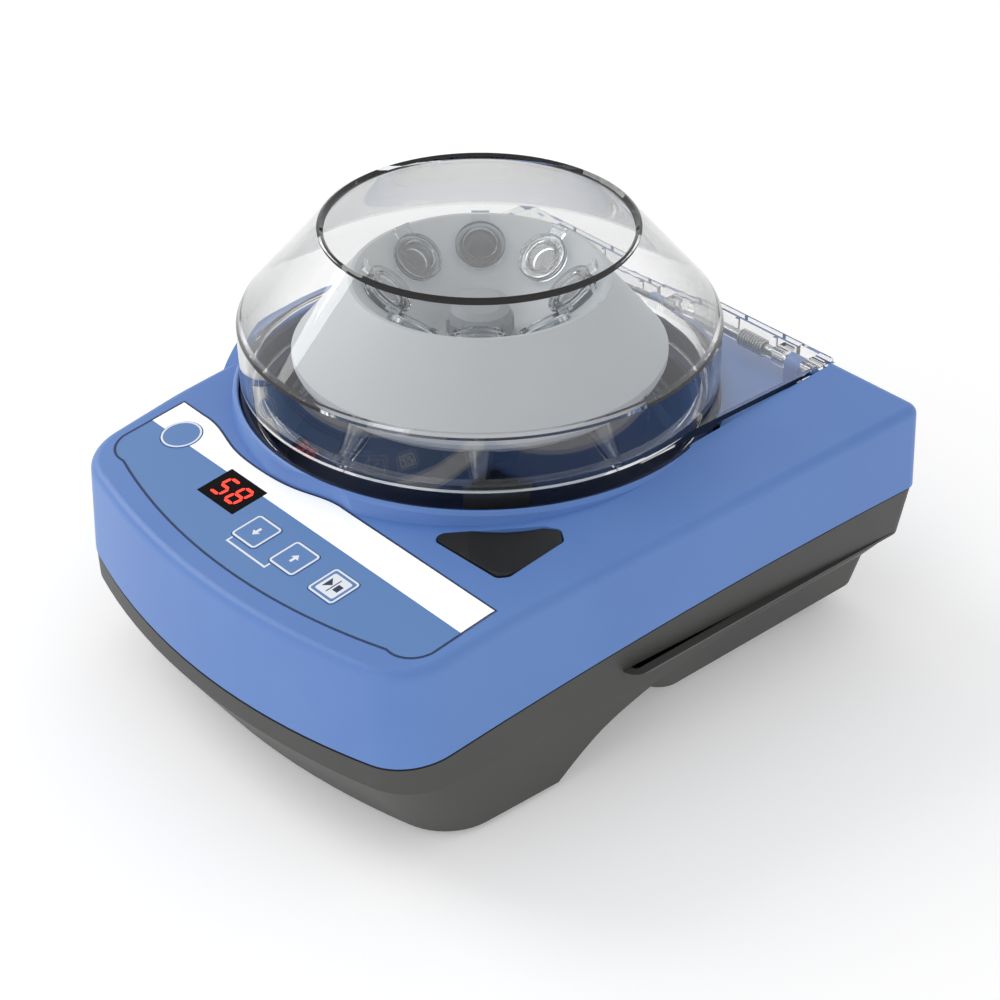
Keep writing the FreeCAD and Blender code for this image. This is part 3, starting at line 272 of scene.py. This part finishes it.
def raise_print(shape):
    """Turns flat faces into a printed layer."""
    raised = bmesh.ops.extrude_face_region(shape, geom=list(shape.faces))
    tops = [v for v in raised["geom"] if isinstance(v, bmesh.types.BMVert)]
    bmesh.ops.translate(shape, verts=tops, vec=panel_up * INK)
    bmesh.ops.recalc_face_normals(shape, faces=shape.faces)


film_blue = moulded("blue printed polyester film", FILM_BLUE, FILM_BLUE, 0.45, grain=0.25, depth=0.03)
# The white band's emission is painted glow, not a lamp.
white_film_with_painted_glow = moulded("white printed polyester film with painted glow", FILM_WHITE, FILM_WHITE, 0.45, grain=0.25, depth=0.03,
                     Emission_Color=linear(FILM_WHITE), Emission_Strength=FILM_PAINTED_GLOW)
navy_print_and_gap_shade = moulded("navy print and painted gap shade", FILM_PRINT_AND_GAP_SHADE, FILM_PRINT_AND_GAP_SHADE, 0.4, grain=0.25, depth=0.03)
finish_node("control_panel_overlay", film_blue)

band = film_top()
band_edge = panel_place @ Vector((0, on_panel(Vector((0, BAND_FRONT_Y, panel_origin.z))).y, 0))
bmesh.ops.bisect_plane(band, geom=band.verts[:] + band.edges[:] + band.faces[:], plane_co=band_edge,
                       plane_no=panel_back, clear_inner=True)
raise_print(band)
new_piece("white_band", band, white_film_with_painted_glow, "housing")


def outer_loop(shape):
    """The longest closed chain of edges that have one face."""
    left = {e for e in shape.edges if e.is_boundary}
    best = []
    while left:
        edge = left.pop()
        chain = [edge.verts[0], edge.verts[1]]
        while chain[-1] is not chain[0]:
            step = next(e for e in chain[-1].link_edges if e in left)
            left.remove(step)
            chain.append(step.other_vert(chain[-1]))
        if len(chain) > len(best) and edge_span(chain) > edge_span(best):
            best = chain
    return best[:-1]


def edge_span(chain):
    """How far a chain of vertices reaches across the panel."""
    return max(v.co.x for v in chain) - min(v.co.x for v in chain) if chain else 0.0


# A thin dark line along the film's outline: painted shade standing for the gap between the film and its
# recess.
film = film_top()
border = bmesh.new()
corners = [border.verts.new(v.co) for v in outer_loop(film)]
film.free()
border.faces.new(corners)
bmesh.ops.recalc_face_normals(border, faces=border.faces)
rim = bmesh.ops.inset_region(border, faces=border.faces[:], thickness=GAP_SHADE_LINE, use_boundary=True)["faces"]
bmesh.ops.delete(border, geom=[f for f in border.faces if f not in rim], context="FACES")
bmesh.ops.translate(border, verts=border.verts, vec=panel_up * INK)
raise_print(border)
new_piece("film_gap_shade_line", border, navy_print_and_gap_shade, "housing")

# ---- Display ----
# A smoked window with a two-digit, seven-segment LED module under it. The number is a run time in minutes.
# The digits lean forward a little, as on real modules, and light up red.
DIGITS = "58"
DIGIT_HEIGHT = 0.0062
DIGIT_WIDTH = 0.0034
DIGIT_PITCH = 0.0058
STROKE = 0.0009
LEAN = 0.13              # how far a digit's top leans forward, for each unit of its height
SEGMENTS = {"5": "afgcd", "8": "abcdefg"}
LED_COLOUR = "#FF3A26"
LED_BODY = "#B01810"
WINDOW_COLOUR = "#080404"

window_gloss, _, _ = new_material("smoked polycarbonate window", Base_Color=linear(WINDOW_COLOUR),
                                  Roughness=0.3, IOR=1.58, Specular_IOR_Level=0.05)
finish_node("display_window", window_gloss)
led_red, _, _ = new_material("lit red LED", Base_Color=linear(LED_BODY), Roughness=0.4,
                             Emission_Color=linear(LED_COLOUR), Emission_Strength=1.6)


def bar(shape, start, end, width):
    """A six-sided segment from start to end, flat on the panel."""
    along = (end - start).normalized()
    side = Vector((-along.y, along.x, 0)) * width / 2
    ends = along * width / 2
    outline = [start, start + ends + side, end - ends + side, end, end - ends - side, start + ends - side]
    shape.faces.new([shape.verts.new(p) for p in outline])


def digit(shape, number, centre):
    """Adds one seven-segment digit about its centre."""
    w, h = DIGIT_WIDTH / 2, DIGIT_HEIGHT / 2
    ends = {"a": ((-w, h), (w, h)), "b": ((w, h), (w, 0)), "c": ((w, 0), (w, -h)), "d": ((w, -h), (-w, -h)),
            "e": ((-w, -h), (-w, 0)), "f": ((-w, 0), (-w, h)), "g": ((-w, 0), (w, 0))}
    for segment in SEGMENTS[number]:
        (x0, y0), (x1, y1) = ends[segment]
        start = Vector((x0 + y0 * LEAN, y0, 0)) + centre
        end = Vector((x1 + y1 * LEAN, y1, 0)) + centre
        gap = (end - start) * 0.05
        bar(shape, start + gap, end - gap, STROKE)


digits = bmesh.new()
for place_in_row, number in enumerate(DIGITS):
    digit(digits, number, Vector(((place_in_row - 0.5) * DIGIT_PITCH, 0, INK)))
bmesh.ops.transform(digits, matrix=panel_place, verts=digits.verts)
bmesh.ops.recalc_face_normals(digits, faces=digits.faces)
raise_print(digits)
new_piece("display_digits", digits, led_red, "housing")

# ---- Keys ----
# Four separate caps come up through the film, moulded in ABS and faced with the same blue film.
# Their outlines and signs are printed in white: a ring, two arrows, and a start and stop sign.
KEY_LINE = 0.00055
KEY_CORNER = 0.0011      # corner radius of a key's outline
KEY_MARGIN = 0.0001      # the outline keeps this far inside the cap's edge
SIGN = 0.0026            # size of an arrow
PLATE_HALF = 0.0033      # half of the light square on the start key
PLATE_CORNER = 0.0006
START_SIGN_MM = (((-2.4, -1.7), (-2.4, 1.7), (-0.5, 0)),
                 ((-0.15, -2.4), (0.15, -2.4), (0.15, 2.4), (-0.15, 2.4)),
                 ((0.7, -1.1), (2.4, -1.1), (2.4, 1.1), (0.7, 1.1)))
BRACKET_INSET = 0.0016   # the bracket's legs stand this far in from the keys' left edges
BRACKET_GAP = 0.0004     # between the keys and the legs
BRACKET_DROP = 0.0021    # from the keys down to the bracket's foot

print_white = moulded("white screen print", "#EEF2FA", "#E8EDF7", 0.5, grain=0.25, depth=0.03)


def cap_top(node):
    """Lowest and highest corner of a key's raised face, in panel coordinates."""
    points = [on_panel(v.co) for v in nodes[node].data.vertices]
    top = max(p.z for p in points)
    face = [p for p in points if p.z > top - 0.0004]
    low = Vector((min(p.x for p in face), min(p.y for p in face), top))
    high = Vector((max(p.x for p in face), max(p.y for p in face), top))
    return low, high


def printed(name, shape, height, body, made=print_white):
    """Stands flat faces drawn in panel coordinates on the panel at that height, as a printed piece."""
    bmesh.ops.translate(shape, verts=shape.verts, vec=(0, 0, height))
    bmesh.ops.transform(shape, matrix=panel_place, verts=shape.verts)
    bmesh.ops.recalc_face_normals(shape, faces=shape.faces)
    for face in shape.faces:
        if face.normal.dot(panel_up) < 0:
            face.normal_flip()
    raise_print(shape)
    new_piece(name, shape, made, body)


def rounded_square(half, radius):
    """A flat square with rounded corners, in panel coordinates."""
    shape = bmesh.new()
    bmesh.ops.create_grid(shape, x_segments=1, y_segments=1, size=half)
    bmesh.ops.bevel(shape, geom=shape.verts[:], offset=radius, affect="VERTICES", segments=6, profile=0.5,
                    material=-1)
    return shape


def outline_only(shape, width):
    """Keeps a line of that width along the edge of flat faces."""
    kept = bmesh.ops.inset_region(shape, faces=shape.faces[:], thickness=width, use_boundary=True)["faces"]
    bmesh.ops.delete(shape, geom=[f for f in shape.faces if f not in kept], context="FACES")


for key in ("down_key", "up_key", "start_key"):
    low, high = cap_top(key)
    middle = (low + high) / 2
    finish_node(key, film_blue)
    frame_line = rounded_square((high.x - low.x) / 2 - KEY_MARGIN, KEY_CORNER)
    outline_only(frame_line, KEY_LINE)
    bmesh.ops.translate(frame_line, verts=frame_line.verts, vec=(middle.x, middle.y, 0))
    printed(key + "_outline", frame_line, middle.z, key)

low, high = cap_top("power_key")
middle = (low + high) / 2
finish_node("power_key", film_blue)
ring = bmesh.new()
bmesh.ops.create_circle(ring, cap_ends=True, segments=64, radius=(high.x - low.x) / 2 - KEY_MARGIN)
outline_only(ring, KEY_LINE)
bmesh.ops.translate(ring, verts=ring.verts, vec=(middle.x, middle.y, 0))
printed("power_key_ring", ring, middle.z, "power_key")

for key, turn in (("down_key", math.pi), ("up_key", 0.0)):
    low, high = cap_top(key)
    middle = (low + high) / 2
    arrow = bmesh.new()
    tip, wing, stem = SIGN * 0.55, SIGN * 0.5, SIGN * 0.16
    outline = [(0, tip), (wing, 0), (stem, 0), (stem, -tip), (-stem, -tip), (-stem, 0), (-wing, 0)]
    arrow.faces.new([arrow.verts.new((x, y, 0)) for x, y in outline])
    bmesh.ops.rotate(arrow, verts=arrow.verts, cent=(0, 0, 0), matrix=Matrix.Rotation(turn, 3, "Z"))
    bmesh.ops.translate(arrow, verts=arrow.verts, vec=(middle.x, middle.y, 0))
    printed(key + "_arrow", arrow, middle.z, key)

low, high = cap_top("start_key")
middle = (low + high) / 2
sign_plate = rounded_square(PLATE_HALF, PLATE_CORNER)
bmesh.ops.translate(sign_plate, verts=sign_plate.verts, vec=(middle.x, middle.y, 0))
printed("start_key_plate", sign_plate, middle.z, "start_key")
start_sign = bmesh.new()
for outline_mm in START_SIGN_MM:
    start_sign.faces.new([start_sign.verts.new((middle.x + x / 1000, middle.y + y / 1000, 0))
                          for x, y in outline_mm])
printed("start_key_sign", start_sign, middle.z + INK, "start_key", navy_print_and_gap_shade)

down_low, _ = cap_top("down_key")
up_low, _ = cap_top("up_key")
bracket = bmesh.new()
half_line = KEY_LINE / 2
left_x, right_x = down_low.x + BRACKET_INSET, up_low.x + BRACKET_INSET
top_y, low_y = down_low.y - BRACKET_GAP, down_low.y - BRACKET_DROP
for x0, y0, x1, y1 in ((left_x - half_line, low_y - half_line, left_x + half_line, top_y),
                       (left_x + half_line, low_y - half_line, right_x - half_line, low_y + half_line),
                       (right_x - half_line, low_y - half_line, right_x + half_line, top_y)):
    bracket.faces.new([bracket.verts.new(p) for p in ((x0, y0, 0), (x1, y0, 0), (x1, y1, 0), (x0, y1, 0))])
printed("key_bracket", bracket, INK, "housing")

# ---- Release button and latch ----
# A dished black button opens the lid: its ramp draws a black nylon pawl back along a grey acetal guide,
# against a small spring.
# A lever switch beside it stops the motor when the lid is up.
BUTTON_COLOUR = "#1D1B1A"
ACETAL_COLOUR = "#38393B"

black_abs = moulded("black satin moulded ABS", BUTTON_COLOUR, "#191817", 0.5, grain=0.4, depth=0.08,
                    Specular_IOR_Level=0.3)
grey_acetal = moulded("grey acetal", ACETAL_COLOUR, "#303133", 0.38)
spring_wire = metal("drawn spring wire", "#B4B6BA", 0.28)
finish_node("lid_open_button", black_abs)
finish_node("latch_pawl", black_nylon)
finish_node("latch_guide", grey_acetal)
finish_node("lid_switch", black_nylon)
for spring in ("button_spring", "latch_spring", "hinge_springs"):
    finish_node(spring, spring_wire)

# ---- Rotor ----
# One thick moulding in light grey glass-filled polypropylene, dull and even, with eight angled bores.
# A fluted nut in darker grey holds it down on the adapter.
ROTOR_COLOUR = "#C5C6C7"
ROTOR_SHADE = "#C0C1C3"
NUT_COLOUR = "#A2A5A8"

finish_node("rotor", moulded("grey glass-filled polypropylene", ROTOR_COLOUR, ROTOR_SHADE, 0.5, grain=0.5,
                             depth=0.06))
finish_node("rotor_lock_nut", moulded("grey moulded nylon nut", NUT_COLOUR, "#989B9F", 0.42))

# ---- Sample tubes ----
# Eight 1.5 ml tubes with snap caps, blown thin in natural polypropylene: clear, slightly milky, glossy.
TUBE_TINT = "#EEF2F5"
# Grey painted in where a tube is seen edge on: painted shade.
TUBE_PAINTED_SLANT_SHADE = "#C9CDD0"
TUBE_PASSED = "#E9EDF0"  # what lamp rays keep of their colour


def clear_plastic(name, tint, slant_painted_shade, ior, roughness, passed):
    """Clear moulded plastic, with painted shade: grey is mixed into its colour where it is seen edge on.
    Lamp and bounce rays go straight through it, tinted, so what it covers stays lit."""
    made, tree, shader = new_material(name, IOR=ior, Roughness=roughness, Transmission_Weight=1.0)
    slant = add_node(tree, "LayerWeight", {"Blend": 0.5}).outputs["Facing"]
    # Painted shade: the more edge on the surface is seen, the more grey is mixed into the base colour.
    depth = add_node(tree, "MapRange", {"Value": slant, "From Min": 0.44, "From Max": 0.88})
    tints = add_node(tree, "Mix", {"Factor": depth.outputs["Result"], 6: linear(tint),
                                   7: linear(slant_painted_shade)}, data_type="RGBA")
    tree.links.new(tints.outputs[2], shader.inputs["Base Color"])
    rays = add_node(tree, "LightPath")
    either = add_node(tree, "Math", {0: rays.outputs["Is Shadow Ray"], 1: rays.outputs["Is Diffuse Ray"]},
                      operation="MAXIMUM")
    clear = add_node(tree, "BsdfTransparent", {"Color": linear(passed)})
    mix = add_node(tree, "MixShader", {0: either.outputs["Value"], 1: shader.outputs["BSDF"],
                                       2: clear.outputs["BSDF"]})
    tree.links.new(mix.outputs["Shader"], tree.nodes["Material Output"].inputs["Surface"])
    return made


clear_pp = clear_plastic("natural polypropylene", TUBE_TINT, TUBE_PAINTED_SLANT_SHADE, 1.49, 0.08, TUBE_PASSED)
finish_node("sample_tubes", clear_pp)
finish_node("tube_caps", clear_pp)

# ---- Lid ----
# One clear polycarbonate moulding: dome, skirt and the flat hinge plate with its ribs. The top edge is
# polished. A black catch is fixed inside the front. The lid turns on
# a ground steel pin.
LID_TINT = "#FFFFFF"
# Grey painted in where the lid is seen edge on: painted shade.
LID_PAINTED_SLANT_SHADE = "#8F9293"
LID_PASSED = "#F6F8F9"

clear_pc = clear_plastic("clear polycarbonate", LID_TINT, LID_PAINTED_SLANT_SHADE, 1.58, 0.0, LID_PASSED)
finish_node("lid_dome", clear_pc)
finish_node("lid_catch", black_nylon)
finish_node("hinge_pin", ground_steel)

# ---- Studio ----
# A plain pale floor under an even white surround that is dimmer overhead, as the studio was lit.
# One large soft lamp stands high at the left, and a weaker and smaller one low in front.
FLOOR_COLOUR = "#F4F4F4"
VIEW_BEARING = 48.58
VIEW_HEIGHT = 33.48
VIEW_DISTANCE = 0.6851
VIEW_TARGET = Vector((-0.03628, 0.04543, 0.0))
VIEW_LENS = 84.4
LAMP_AIM = Vector((0, 0, 0.04))
WALL_LIGHT = 1.0
CEILING_LIGHT = 0.62
FLOOR_GLOW = 0.22        # keeps the floor white where nothing shades it

floor_shape = bmesh.new()
bmesh.ops.create_grid(floor_shape, x_segments=1, y_segments=1, size=6.0)
floor_mesh = bpy.data.meshes.new("studio_floor")
floor_shape.to_mesh(floor_mesh)
floor_shape.free()
floor_paint, _, _ = new_material("matt studio floor", Base_Color=linear(FLOOR_COLOUR), Roughness=0.9,
                                 Emission_Color=(1.0, 1.0, 1.0, 1.0), Emission_Strength=FLOOR_GLOW)
floor_mesh.materials.append(floor_paint)
floor = bpy.data.objects.new("studio_floor", floor_mesh)
bpy.context.scene.collection.objects.link(floor)

world = bpy.data.worlds.new("studio")
world.use_nodes = True
sky = world.node_tree
upward = add_node(sky, "SeparateXYZ", {"Vector": add_node(sky, "TexCoord").outputs["Object"]})
dimmer = add_node(sky, "MapRange", {"Value": upward.outputs["Z"], "To Min": WALL_LIGHT,
                                    "To Max": CEILING_LIGHT})
sky.links.new(dimmer.outputs["Result"], sky.nodes["Background"].inputs["Strength"])
sky.nodes["Background"].inputs["Color"].default_value = (1.0, 1.0, 1.0, 1.0)
bpy.context.scene.world = world
bpy.context.scene.view_settings.view_transform = "Standard"


def soft_lamp(name, place, size, power):
    """A square soft box that faces the object."""
    lamp = bpy.data.lights.new(name, "AREA")
    lamp.size = size
    lamp.energy = power
    holder = bpy.data.objects.new(name, lamp)
    holder.location = place
    holder.rotation_euler = (LAMP_AIM - place).to_track_quat("-Z", "Y").to_euler()
    bpy.context.scene.collection.objects.link(holder)


soft_lamp("key_lamp", Vector((-0.95, -0.35, 0.85)), 0.6, 4.6)
soft_lamp("window_lamp", Vector((0.15, -1.0, 0.5)), 0.35, 0.8)

bearing, height = math.radians(VIEW_BEARING), math.radians(VIEW_HEIGHT)
away = Vector((math.sin(bearing) * math.cos(height), -math.cos(bearing) * math.cos(height), math.sin(height)))
camera = bpy.data.objects.new("camera", bpy.data.cameras.new("camera"))
camera.data.sensor_width = 36.0
camera.data.lens = VIEW_LENS
camera.data.clip_start = 0.01
camera.location = VIEW_TARGET + away * VIEW_DISTANCE
camera.rotation_euler = (-away).to_track_quat("-Z", "Y").to_euler()
bpy.context.scene.collection.objects.link(camera)
bpy.context.scene.camera = camera

bpy.context.view_layer.update()
